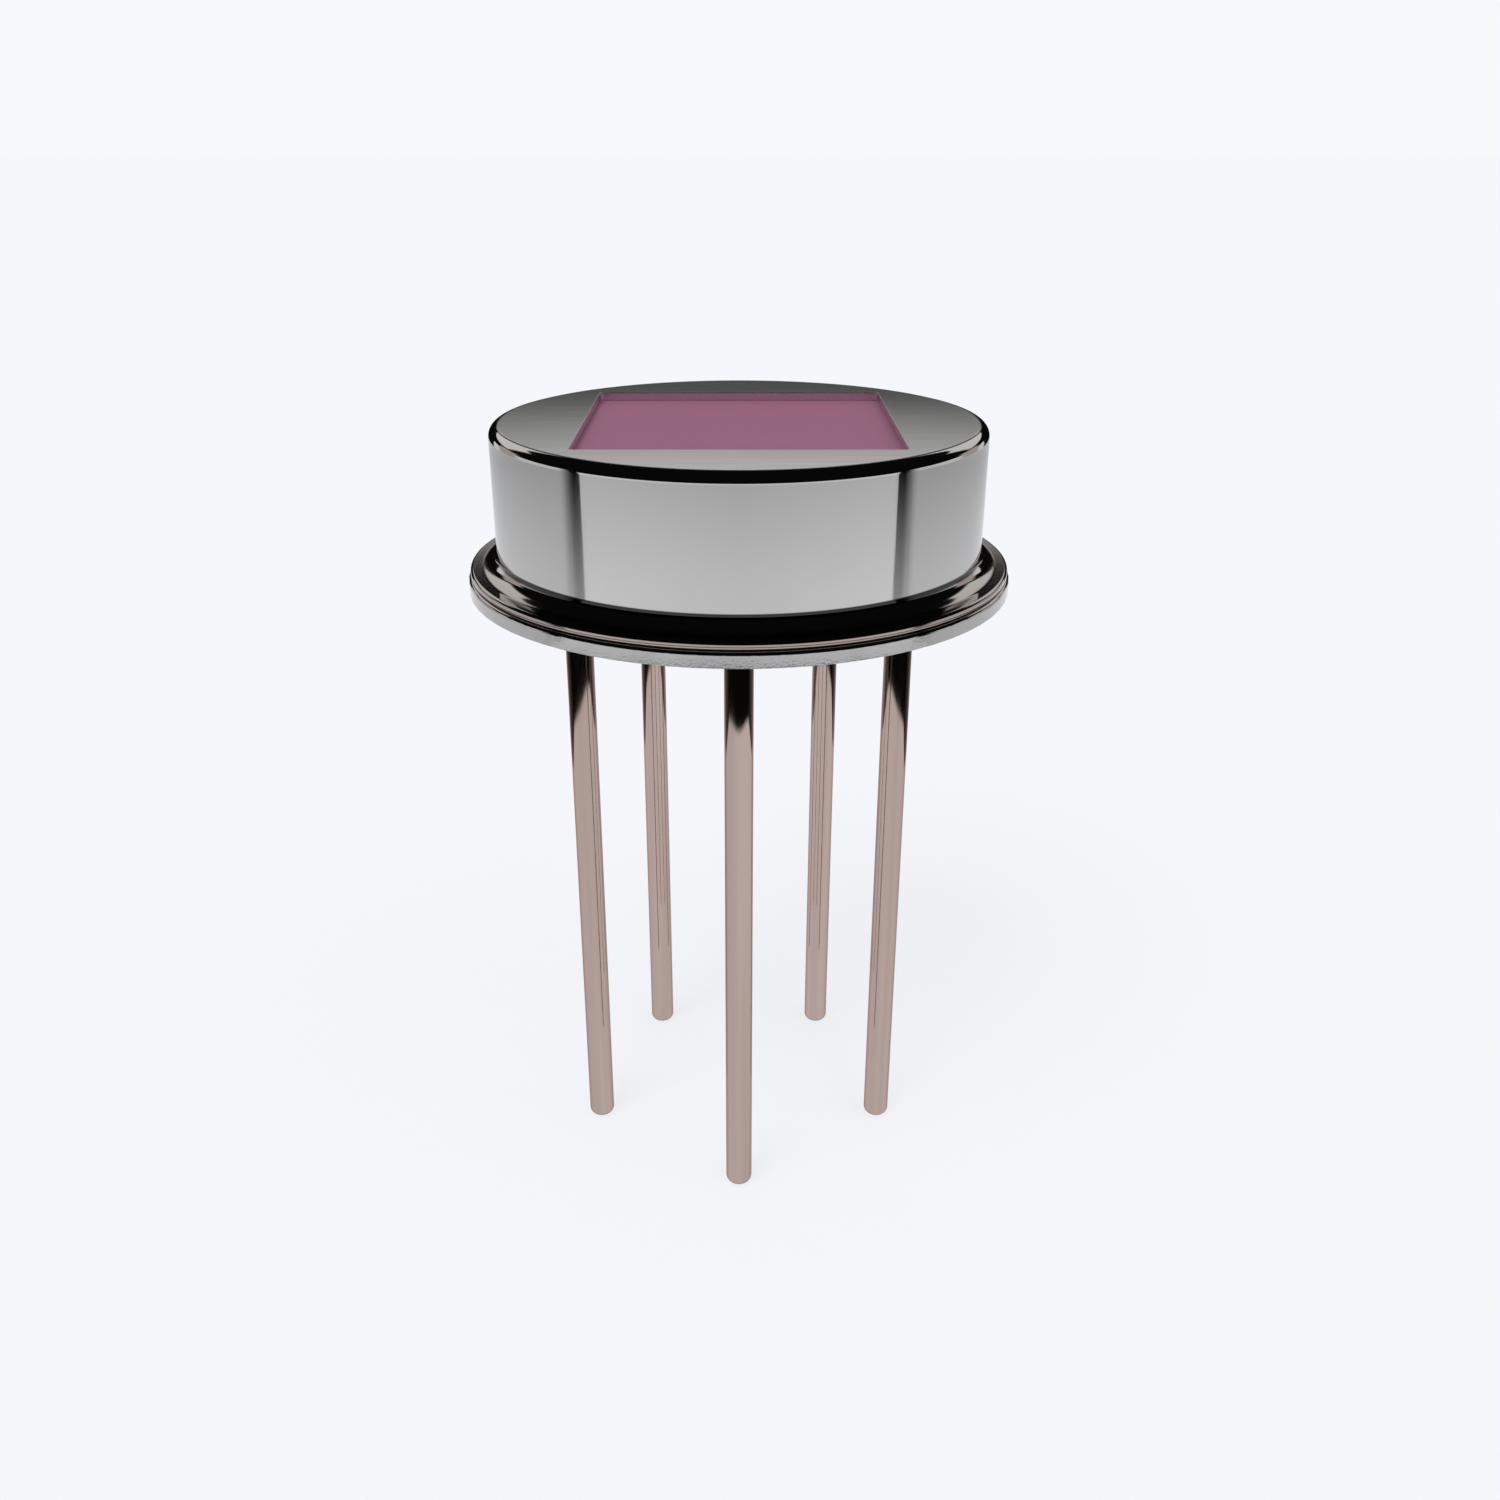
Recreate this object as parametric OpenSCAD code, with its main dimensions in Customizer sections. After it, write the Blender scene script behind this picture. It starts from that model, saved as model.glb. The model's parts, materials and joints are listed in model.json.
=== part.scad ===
// Silicon photomultiplier in a round metal can. A drawn cap with a square window
// is welded to a header, and five leads pass down through the header's seals.
// The header's underside is the seating plane, z = 0. The can's axis is z, the
// window looks to +z and the index tab points to +y. Sizes are in millimetres.

/* [Cap] */
// Outside diameter of the cap's wall
cap_d = 8.4; // [8.2:0.01:8.6]
// Height of the cap above the underside of its flange
cap_h = 2.52; // [2.5:0.02:4]
// Thickness of the sheet the cap is drawn from
cap_t = 0.15; // [0.1:0.01:0.22]
// Bend radius inside the cap's top edge
top_bend_r = 0.03; // [0.02:0.01:0.2]
// Bend radius on the outside, between the wall and the flange
foot_bend_r = 0.27; // [0.1:0.01:0.4]
// Width of the flat part of the cap's flange
flange_flat_w = 0.19; // [0.15:0.005:0.5]
// Rounding of the flange's outer edges
flange_edge_r = 0.06; // [0.02:0.005:0.07]
// Side of the square aperture
aperture_w = 5.18; // [4:0.02:5.3]
// Rounding of the aperture's corners
aperture_corner_r = 0.08; // [0.03:0.01:0.5]

/* [Window] */
// Thickness of the window's glass
window_t = 0.5; // [0.3:0.02:0.6]
// Bevel on the window's lower edge
window_bevel = 0.06; // [0.02:0.01:0.15]
// Width of the sealing fillet round the window
seal_w = 0.155; // [0.08:0.005:0.25]

/* [Header] */
// How far the header's rim stands out past the cap's flange
rim_ledge = 0.04; // [0.02:0.01:0.3]
// Thickness of the header's rim
rim_t = 0.25; // [0.15:0.01:0.4]
// Rounding of the rim's upper edge
rim_edge_r = 0.06; // [0.02:0.01:0.07]
// Height of the platform above the seating plane
platform_h = 1.05; // [0.8:0.01:1.1]
// Gap between the platform and the cap's wall
platform_gap = 0.155; // [0.05:0.005:0.25]
// Rounding of the platform's top edge
platform_edge_r = 0.12; // [0.03:0.01:0.2]
// Fillet between the platform and the rim
platform_cove_r = 0.1; // [0.03:0.01:0.15]
// Width of the index tab
tab_w = 0.78; // [0.6:0.02:1]
// How far the index tab stands out of the rim
tab_l = 0.86; // [0.6:0.02:1.2]
// Rounding of the index tab's corners
tab_corner_r = 0.15; // [0.05:0.01:0.25]

/* [Leads] */
// Diameter of the circle the leads stand on
lead_circle_d = 5.84; // [5.7:0.02:6]
// Diameter of a plated lead below the header
lead_d = 0.48; // [0.41:0.01:0.53]
// Diameter of a lead's bare wire inside its seal
core_d = 0.45; // [0.36:0.01:0.47]
// Length of a lead below the seating plane
lead_l = 11; // [5:0.02:14]
// Rounding of a lead's tip
lead_tip_r = 0.14; // [0.05:0.01:0.18]
// Height of a lead's post above the platform
post_h = 0.45; // [0.3:0.01:0.55]

/* [Seals] */
// Diameter of the glass beads
bead_d = 1.1; // [0.9:0.02:1.2]
// Depth of the hollow that the glass leaves at a bead's ends
bead_hollow = 0.06; // [0.02:0.01:0.1]
// Diameter of the braze ring round the case lead
braze_d = 0.9; // [0.8:0.02:1.2]
// Depth of the braze ring
braze_h = 0.35; // [0.2:0.01:0.6]

/* [Carrier] */
// Gap between the carrier's edge and the glass beads
carrier_gap = 0.02; // [0.01:0.01:0.2]
// Thickness of the ceramic carrier
carrier_t = 0.38; // [0.25:0.01:0.4]
// Thickness of the adhesive under the carrier
bond_t = 0.04; // [0.02:0.01:0.08]
// Thickness of the gold lands
land_t = 0.02; // [0.01:0.005:0.03]
// Distance from the carrier's edge to its lands
land_inset = 0.08; // [0.04:0.01:0.12]
// Gap between the two lands
land_gap = 0.13; // [0.08:0.01:0.15]
// Land left bare round the die
land_margin = 0.05; // [0.02:0.01:0.08]
// Length of the cathode wire's place beside the die
cathode_pad_l = 0.45; // [0.3:0.01:0.5]
// Width of the cathode wire's place beside the die
cathode_pad_w = 0.8; // [0.4:0.02:1]
// Width of the thermistor's land
thermistor_land_w = 1.6; // [1.4:0.02:1.8]

/* [Sensor] */
// Side of the square die
die_w = 3; // [2.6:0.02:3.04]
// Thickness of the die
die_t = 0.3; // [0.2:0.01:0.35]
// Thickness of the conductive adhesive under the die and the thermistor
attach_t = 0.03; // [0.02:0.005:0.04]
// Distance from the die's edge to its metal frame
bus_inset = 0.08; // [0.04:0.01:0.12]
// Width of the metal frame round the active area
bus_w = 0.08; // [0.04:0.01:0.12]
// Thickness of the metal on the die's face
bus_t = 0.01; // [0.005:0.005:0.02]
// Side of the square bond pad
bond_pad_w = 0.3; // [0.24:0.01:0.4]
// How far the anode and cathode bonds lie in front of the middle
bond_offset = 0.45; // [0.2:0.01:0.6]
// Side of the square thermistor chip
thermistor_w = 0.4; // [0.3:0.01:0.44]
// Thickness of the thermistor chip
thermistor_t = 0.25; // [0.15:0.01:0.3]
// How far the thermistor lies to the right of the middle
thermistor_offset = 0.3; // [0.25:0.01:0.36]
// How far the land's wire is bonded to the left of the middle
land_wire_offset = 0.45; // [0.3:0.01:0.5]

/* [Bond wires] */
// Diameter of a bond wire
wire_d = 0.05; // [0.03:0.005:0.05]
// Diameter of the foot at each end of a bond wire
foot_d = 0.14; // [0.1:0.01:0.16]
// Height of that foot
foot_h = 0.06; // [0.055:0.005:0.08]
// Rise of a bond wire's arc above the line between its feet
wire_rise = 0.22; // [0.15:0.01:0.24]

/* [Hidden] */

$fn = 96;

// How far a cut runs past the face it opens, and a blend into its neighbours
overcut = 0.05;
// Largest share of a wall's thickness that the rounding of its edge may take
edge_share = 0.45;

// Leads are numbered from the index tab, anticlockwise as seen from the window
lead_count = 5;
tab_angle = 90;
sealed_lead_numbers = [1, 2, 4, 5];
anode_lead_number = 4;
cathode_lead_number = 2;
case_lead_number = 3;
thermistor_lead_number = 5;
land_lead_number = 1;

cap_r = cap_d / 2;
cap_in_r = cap_r - cap_t;
flange_r = cap_r + foot_bend_r + flange_flat_w;
rim_r = flange_r + rim_ledge;
platform_r = cap_in_r - platform_gap;

window_top = rim_t + cap_h - cap_t;
window_r = cap_in_r - top_bend_r - seal_w;

lead_circle_r = lead_circle_d / 2;
lead_r = lead_d / 2;
core_r = core_d / 2;
bead_r = bead_d / 2;
braze_r = braze_d / 2;
post_top = platform_h + post_h;

carrier_r = lead_circle_r - bead_r - carrier_gap;
carrier_bottom = platform_h + bond_t;
land_bottom = carrier_bottom + carrier_t;
land_top = land_bottom + land_t;
land_r = carrier_r - land_inset;

die_land_w = die_w + 2 * land_margin;
die_bottom = land_top + attach_t;
die_top = die_bottom + die_t;
bus_top = die_top + bus_t;
bus_edge = die_w / 2 - bus_inset;

thermistor_land_y = die_land_w / 2 + land_gap;
thermistor_y = (thermistor_land_y + land_r) / 2;
thermistor_bottom = land_top + attach_t;
thermistor_top = thermistor_bottom + thermistor_t;

// Where each bond wire starts, on the face it is bonded to
anode_bond = [bus_edge - bond_pad_w / 2, -bond_offset, bus_top];
cathode_bond = [-(die_land_w + cathode_pad_l) / 2, -bond_offset, land_top];
thermistor_bond = [thermistor_offset, thermistor_y, thermistor_top];
land_bond = [-land_wire_offset, thermistor_y, land_top];

function lead_angle(i) = tab_angle + (i - 0.5) * 360 / lead_count;
function lead_place(i, z) = [
    lead_circle_r * cos(lead_angle(i)),
    lead_circle_r * sin(lead_angle(i)),
    z
];

module at_lead(i) {
    translate(lead_place(i, 0))
        children();
}

// Half section of a disc whose top edge is rounded, from the axis outwards
module disc_section(r, h, edge_r) {
    square([r - edge_r, h]);
    square([r, h - edge_r]);
    translate([r - edge_r, h - edge_r])
        intersection() {
            circle(edge_r);
            square(edge_r);
        }
}

// Half section of a thin disc with both of its edges rounded
module flange_section(r, t, edge_r) {
    round_r = min(edge_r, edge_share * t);
    square([r - round_r, t]);
    translate([0, round_r])
        square([r, t - 2 * round_r]);
    for (y = [round_r, t - round_r])
        translate([r - round_r, y])
            circle(round_r);
}

// Hollow fillet in the corner between a wall at x = r and a floor at y = z,
// which reaches behind the wall and under the floor by lap
module cove_section(r, z, bend_r, lap) {
    difference() {
        translate([r - lap, z - lap])
            square(bend_r + lap);
        translate([r + bend_r, z + bend_r])
            circle(bend_r);
    }
}

// Half section of a seal between a lead and its hole, hollowed at the ends
// given, where 0 is the lower end and 1 the upper
module seal_section(in_r, out_r, h, hollow, ends) {
    width = out_r - in_r;
    hollow_r = (width * width / 4 + hollow * hollow) / (2 * hollow);
    hollow_z = [hollow - hollow_r, h + hollow_r - hollow];
    difference() {
        translate([in_r, 0])
            square([width, h]);
        for (end = ends)
            translate([in_r + width / 2, hollow_z[end]])
                circle(hollow_r);
    }
}

module rounded_square(w, corner_r) {
    square([w, w - 2 * corner_r], center = true);
    square([w - 2 * corner_r, w], center = true);
    for (x = [-1, 1], y = [-1, 1])
        translate([x, y] * (w / 2 - corner_r))
            circle(corner_r);
}

// Index tab, from inside the rim to its rounded outer corners
module tab_outline() {
    tab_end = rim_r + tab_l;
    translate([-tab_w / 2, cap_r])
        square([tab_w, tab_end - tab_corner_r - cap_r]);
    translate([-tab_w / 2 + tab_corner_r, cap_r])
        square([tab_w - 2 * tab_corner_r, tab_end - cap_r]);
    for (x = [-1, 1])
        translate([x * (tab_w / 2 - tab_corner_r), tab_end - tab_corner_r])
            circle(tab_corner_r);
}

module header_section() {
    disc_section(rim_r, rim_t, rim_edge_r);
    disc_section(platform_r, platform_h, platform_edge_r);
    cove_section(platform_r, rim_t, platform_cove_r, overcut);
}

module header() {
    color("#b8aca0")
        difference() {
            union() {
                rotate_extrude()
                    header_section();
                linear_extrude(rim_t)
                    tab_outline();
            }
            for (i = sealed_lead_numbers)
                at_lead(i)
                    translate([0, 0, -overcut])
                        cylinder(r = bead_r, h = platform_h + 2 * overcut);
            at_lead(case_lead_number) {
                translate([0, 0, -overcut])
                    cylinder(r = core_r, h = platform_h + 2 * overcut);
                translate([0, 0, -overcut])
                    cylinder(r = braze_r, h = braze_h + overcut);
            }
        }
}

// Half section of the drawn sheet, the same thickness along all its bends
module cap_section() {
    difference() {
        union() {
            disc_section(cap_r, cap_h, top_bend_r + cap_t);
            flange_section(flange_r, cap_t, flange_edge_r);
            cove_section(cap_r, cap_t, foot_bend_r, overcut);
        }
        disc_section(cap_in_r, cap_h - cap_t, top_bend_r);
        cove_section(cap_in_r, 0, foot_bend_r + cap_t, overcut);
    }
}

module cap() {
    color("#b4b6b8")
        translate([0, 0, rim_t])
            difference() {
                rotate_extrude()
                    cap_section();
                translate([0, 0, cap_h - cap_t - overcut])
                    linear_extrude(cap_t + 2 * overcut)
                        rounded_square(aperture_w, aperture_corner_r);
            }
}

module window() {
    color("#96697f")
        translate([0, 0, window_top - window_t])
            rotate_extrude()
                polygon([
                    [0, 0],
                    [window_r - window_bevel, 0],
                    [window_r, window_bevel],
                    [window_r, window_t],
                    [0, window_t]
                ]);
}

// Bead of compound in the corner between the window's edge and the cap's top
module window_seal() {
    color("#3c3a3a")
        translate([0, 0, window_top])
            rotate_extrude()
                polygon([
                    [window_r, 0],
                    [window_r, -seal_w],
                    [window_r + seal_w, 0]
                ]);
}

// Plated lead with a rounded tip, and its bare wire up to a given height
module lead(i, top) {
    color("#b7a69b")
        at_lead(i)
            rotate_extrude() {
                mirror([0, 1])
                    disc_section(lead_r, lead_l, lead_tip_r);
                square([core_r, top]);
            }
}

module bead(i) {
    color("#2f3b3c")
        at_lead(i)
            rotate_extrude()
                seal_section(core_r, bead_r, platform_h, bead_hollow, [0, 1]);
}

module case_braze() {
    color("#c9b27a")
        at_lead(case_lead_number)
            rotate_extrude()
                seal_section(core_r, braze_r, braze_h, bead_hollow, [0]);
}

module carrier_bond() {
    color("#d8d2c0")
        translate([0, 0, platform_h])
            cylinder(r = carrier_r, h = bond_t);
}

module carrier() {
    color("#f0eee8")
        translate([0, 0, carrier_bottom])
            cylinder(r = carrier_r, h = carrier_t);
}

// Die's land with the cathode wire's place on its left, kept inside the carrier
module die_land() {
    color("#d4af5a")
        translate([0, 0, land_bottom])
            linear_extrude(land_t)
                intersection() {
                    circle(land_r);
                    union() {
                        square(die_land_w, center = true);
                        translate([cathode_bond.x - cathode_pad_l / 2, -bond_offset - cathode_pad_w / 2])
                            square([cathode_pad_l + overcut, cathode_pad_w]);
                    }
                }
}

module thermistor_land() {
    color("#d4af5a")
        translate([0, 0, land_bottom])
            linear_extrude(land_t)
                intersection() {
                    circle(land_r);
                    translate([-thermistor_land_w / 2, thermistor_land_y])
                        square([thermistor_land_w, land_r]);
                }
}

module die_attach() {
    color("#9a9a98")
        translate([0, 0, land_top])
            linear_extrude(attach_t)
                square(die_w, center = true);
}

module sipm_die() {
    color("#4a4f5c")
        translate([0, 0, die_bottom])
            linear_extrude(die_t)
                square(die_w, center = true);
}

// Metal frame round the active area, with the anode wire's bond pad
module anode_bus() {
    color("#c8c9cc")
        translate([0, 0, die_top])
            linear_extrude(bus_t) {
                difference() {
                    square(2 * bus_edge, center = true);
                    square(2 * (bus_edge - bus_w), center = true);
                }
                translate([anode_bond.x, anode_bond.y])
                    square(bond_pad_w, center = true);
            }
}

module thermistor_attach() {
    color("#9a9a98")
        translate([thermistor_offset, thermistor_y, land_top])
            linear_extrude(attach_t)
                square(thermistor_w, center = true);
}

module thermistor() {
    color("#5a4d45")
        translate([thermistor_offset, thermistor_y, thermistor_bottom])
            linear_extrude(thermistor_t)
                square(thermistor_w, center = true);
}

// Bond wire from a point on one face to a point on another: a foot on each, and
// a round arc between them in the upright plane through both
module bond_wire(from, to) {
    along = to - from;
    span = norm([along.x, along.y]);
    chord = norm(along);
    arc_r = (chord * chord / 4 + wire_rise * wire_rise) / (2 * wire_rise);
    half_angle = asin(chord / (2 * arc_r));
    color("#dcb75e") {
        for (place = [from, to])
            translate(place)
                cylinder(d = foot_d, h = foot_h);
        translate((from + to) / 2 + [0, 0, foot_h / 2])
            rotate([90, 0, atan2(along.y, along.x)])
                rotate(atan2(along.z, span))
                    translate([0, wire_rise - arc_r])
                        rotate_extrude(angle = 2 * half_angle, start = 90 - half_angle)
                            translate([arc_r, 0])
                                circle(d = wire_d);
    }
}

module anode_wire() {
    bond_wire(anode_bond, lead_place(anode_lead_number, post_top));
}

module cathode_wire() {
    bond_wire(cathode_bond, lead_place(cathode_lead_number, post_top));
}

module thermistor_wire() {
    bond_wire(thermistor_bond, lead_place(thermistor_lead_number, post_top));
}

module land_wire() {
    bond_wire(land_bond, lead_place(land_lead_number, post_top));
}

header();
cap();
window();
window_seal();
for (i = [1:lead_count])
    lead(i, i == case_lead_number ? platform_h : post_top);
for (i = sealed_lead_numbers)
    bead(i);
case_braze();
carrier_bond();
carrier();
die_land();
thermistor_land();
die_attach();
sipm_die();
anode_bus();
thermistor_attach();
thermistor();
anode_wire();
cathode_wire();
thermistor_wire();
land_wire();
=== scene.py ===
import json
import math

import bmesh
import bpy
import numpy as np
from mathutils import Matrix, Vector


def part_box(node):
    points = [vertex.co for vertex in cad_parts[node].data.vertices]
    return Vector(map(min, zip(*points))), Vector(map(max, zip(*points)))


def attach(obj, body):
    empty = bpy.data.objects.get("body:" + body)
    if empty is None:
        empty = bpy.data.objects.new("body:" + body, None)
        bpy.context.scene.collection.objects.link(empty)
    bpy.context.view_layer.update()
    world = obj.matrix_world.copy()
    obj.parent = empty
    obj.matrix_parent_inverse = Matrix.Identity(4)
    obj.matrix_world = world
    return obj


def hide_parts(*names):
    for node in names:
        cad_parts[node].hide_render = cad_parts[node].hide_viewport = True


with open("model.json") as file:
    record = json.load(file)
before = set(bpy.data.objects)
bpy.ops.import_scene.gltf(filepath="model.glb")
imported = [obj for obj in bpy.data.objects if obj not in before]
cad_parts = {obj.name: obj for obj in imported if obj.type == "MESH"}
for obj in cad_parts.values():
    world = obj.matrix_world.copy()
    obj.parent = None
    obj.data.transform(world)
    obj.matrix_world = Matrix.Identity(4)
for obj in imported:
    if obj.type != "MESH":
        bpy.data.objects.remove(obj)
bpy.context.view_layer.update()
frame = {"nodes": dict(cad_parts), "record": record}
nodes = frame["nodes"]
mm = 0.001
mergeWithin = 1e-5 * mm    # points nearer than this become one
print("frame loaded:", len(nodes), "nodes")

scene = bpy.context.scene
scene.view_settings.view_transform = "Standard"


# Mesh helpers

def gridFaces(rows, cols, wrapRows=False, wrapCols=False):
    # corner (i, j) of a grid is point i * cols + j, and a wrapped side joins its end to its start
    i, j = np.meshgrid(np.arange(rows - (not wrapRows)), np.arange(cols - (not wrapCols)), indexing="ij")
    nextI = (i + 1) % rows
    nextJ = (j + 1) % cols
    corners = (i * cols + j, i * cols + nextJ, nextI * cols + nextJ, nextI * cols + j)
    return np.stack(corners, axis=-1).reshape(-1, 4)


def surfaceObject(name, points, wrapRows=False, wrapCols=False):
    # smooth mesh through a grid of points (row, column, xyz)
    rows, cols = points.shape[:2]
    mesh = bpy.data.meshes.new(name)
    faces = gridFaces(rows, cols, wrapRows, wrapCols)
    mesh.from_pydata(points.reshape(-1, 3).tolist(), [], faces.tolist())
    joined = bmesh.new()
    joined.from_mesh(mesh)
    bmesh.ops.remove_doubles(joined, verts=joined.verts, dist=mergeWithin)    # closes poles
    joined.to_mesh(mesh)
    joined.free()
    mesh.polygons.foreach_set("use_smooth", np.ones(len(mesh.polygons), bool))
    mesh.update()
    made = bpy.data.objects.new(name, mesh)
    scene.collection.objects.link(made)
    return made


def evenTurns(count, start=0.0):
    # angles of one whole round, without its end, which is its start again
    return start + np.linspace(0, 2 * np.pi, count + 1)[:-1]


def arcPoints(middle, radius, start, stop, count):
    # points (x, z) on a circle: middle + radius * (cos a, sin a), with a in degrees
    angle = np.radians(np.linspace(start, stop, count))
    return np.stack([middle[0] + radius * np.cos(angle), middle[1] + radius * np.sin(angle)], axis=-1)


def spunPoints(outline, turns, place=(0.0, 0.0)):
    # outline (reach, height) carried round an upright axis: (reach cos t, reach sin t, height)
    reach, height = outline[..., 0], outline[..., 1]
    x = place[0] + reach * np.cos(turns)[:, None]
    y = place[1] + reach * np.sin(turns)[:, None]
    return np.stack([x, y, np.broadcast_to(height, x.shape)], axis=-1)


# Node helpers

def fillSocket(tree, socket, value):
    if isinstance(value, bpy.types.NodeSocket):
        tree.links.new(value, socket)
    else:
        socket.default_value = value


def addNode(tree, kind, sockets=None, **settings):
    made = tree.nodes.new(kind)
    for name, value in settings.items():
        setattr(made, name, value)
    for name, value in (sockets or {}).items():
        fillSocket(tree, made.inputs[name], value)
    return made


def addMath(tree, operation, first, second=0.0):
    return addNode(tree, "ShaderNodeMath", {0: first, 1: second}, operation=operation).outputs[0]


def addRange(tree, value, low, high, toLow=0.0, toHigh=1.0, smooth=False):
    kind = "SMOOTHSTEP" if smooth else "LINEAR"
    sockets = {"Value": value, "From Min": low, "From Max": high, "To Min": toLow, "To Max": toHigh}
    return addNode(tree, "ShaderNodeMapRange", sockets, interpolation_type=kind).outputs[0]


def mixValue(tree, share, first, second):
    return addNode(tree, "ShaderNodeMix", {0: share, 2: first, 3: second}).outputs[0]


def mixColor(tree, share, first, second):
    # a Mix node has its colours on sockets 6 and 7, and gives them out on 2
    return addNode(tree, "ShaderNodeMix", {0: share, 6: first, 7: second}, data_type="RGBA").outputs[2]


def mixShader(tree, share, first, second):
    return addNode(tree, "ShaderNodeMixShader", {0: share, 1: first, 2: second}).outputs[0]


def emission(tree, tone, strength=1.0):
    return addNode(tree, "ShaderNodeEmission", {"Color": tone, "Strength": strength}).outputs[0]


def diffuse(tree, tone):
    return addNode(tree, "ShaderNodeBsdfDiffuse", {"Color": tone}).outputs[0]


def transparent(tree):
    return addNode(tree, "ShaderNodeBsdfTransparent").outputs[0]


def objectPlace(tree):
    return addNode(tree, "ShaderNodeTexCoord").outputs["Object"]


def splitAxes(tree, place):
    return addNode(tree, "ShaderNodeSeparateXYZ", {0: place}).outputs


def squareOff(tree, axes):
    # the larger of |x| and |y|
    x, y = (addMath(tree, "ABSOLUTE", axes[axis]) for axis in "XY")
    return addMath(tree, "MAXIMUM", x, y)


def rgb(red, green, blue):
    return (red, green, blue, 1.0)


def newMaterial(name):
    made = bpy.data.materials.new(name)
    made.use_nodes = True
    made.node_tree.nodes.clear()
    return made, made.node_tree


def closeMaterial(tree, shader):
    output = tree.nodes.new("ShaderNodeOutputMaterial")
    tree.links.new(shader, output.inputs["Surface"])


# Camera: a pinhole fitted to the picture, on the symmetry plane in front of the can

cameraLook = {
    "place": (0.0, -23.52 * mm, 7.04 * mm),
    "pitchDown": 23.876,       # degrees
    "lens": 32.96,
    "sensor": 36.0,            # width that the lens belongs to
    "shiftX": 0.0074,          # the can stands a little left of the middle
    "clip": (1 * mm, 20.0),    # nearest and furthest that it sees
}


def makeCamera(look):
    data = bpy.data.cameras.new("camera")
    data.sensor_width = look["sensor"]
    data.lens = look["lens"]
    data.shift_x = look["shiftX"]
    data.clip_start, data.clip_end = look["clip"]
    made = bpy.data.objects.new("camera", data)
    made.location = look["place"]
    made.rotation_euler = (math.radians(90 - look["pitchDown"]), 0, 0)
    scene.collection.objects.link(made)
    scene.camera = made


makeCamera(cameraLook)
print("camera set")


# Studio: pale floor and world, soft lamps, and dark cards that only mirror in the metal

studio = {
    "pale": rgb(0.930, 0.939, 0.974),
    "matt": rgb(0.75, 0.75, 0.76),     # floor as matt surfaces see it
    "ambient": 0.55,                   # world light on matt surfaces
    "shadowShare": 0.22,               # part of the floor's tone that the lamps make
    "floorLight": 0.92,                # what the lamps and the world bring to the open floor
    "floorHalf": 2.0,                  # metres
    "fade": (42 * mm, 66 * mm),        # mirrored floor dims between these distances
    "fadeMost": 0.38,                  # by this share
    "fadeBack": (66 * mm, 84 * mm),    # and is light again further out
    "fadeKept": 0.1,                   # but for this part of the fade
    "openReach": 33.7 * mm,            # nearer than this the leads mirror the ring under the floor
    "cardTurn": 78,                    # degrees from the front where the side cards stand
    "frontGain": 0.13,                 # mirrored floor is lighter by this share towards the cards
    "sideLoss": 0.17,                  # and darker just behind them
    "lamps": [                         # strength, softness, and direction in degrees: round, up
        ("keyLamp", 1.0, 35, -35, 55),
        ("fillLamp", 0.5, 60, 50, 40),
    ],
}

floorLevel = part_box("lead_3")[0].z


def mirrorOnly(piece, material):
    piece.data.materials.append(material)
    piece.visible_camera = False
    piece.visible_diffuse = False
    piece.visible_transmission = False
    piece.visible_shadow = False


def seenRays(tree):
    # rays that show the background: from the camera, from metal and through glass
    path = addNode(tree, "ShaderNodeLightPath").outputs
    shown = addMath(tree, "MAXIMUM", path["Is Camera Ray"], path["Is Glossy Ray"])
    return addMath(tree, "MAXIMUM", shown, path["Is Transmission Ray"]), path["Is Glossy Ray"]


def makeWorld(look):
    world = bpy.data.worlds.new("paleWorld")
    world.use_nodes = True
    tree = world.node_tree
    tree.nodes.clear()
    shown, _ = seenRays(tree)
    strength = addRange(tree, shown, 0, 1, look["ambient"], 1.0)
    light = addNode(tree, "ShaderNodeBackground", {"Color": look["pale"], "Strength": strength})
    output = tree.nodes.new("ShaderNodeOutputWorld")
    tree.links.new(light.outputs[0], output.inputs["Surface"])
    scene.world = world


def floorPolar(tree):
    # distance from the can's axis, and the turn from the front to either side
    place = objectPlace(tree)
    flat = addNode(tree, "ShaderNodeVectorMath", {0: place, 1: (1, 1, 0)}, operation="MULTIPLY").outputs[0]
    reach = addNode(tree, "ShaderNodeVectorMath", {0: flat}, operation="LENGTH").outputs["Value"]
    axes = splitAxes(tree, place)
    ahead = addMath(tree, "MULTIPLY", axes["Y"], -1.0)
    return reach, addMath(tree, "ARCTAN2", addMath(tree, "ABSOLUTE", axes["X"]), ahead)


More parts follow.
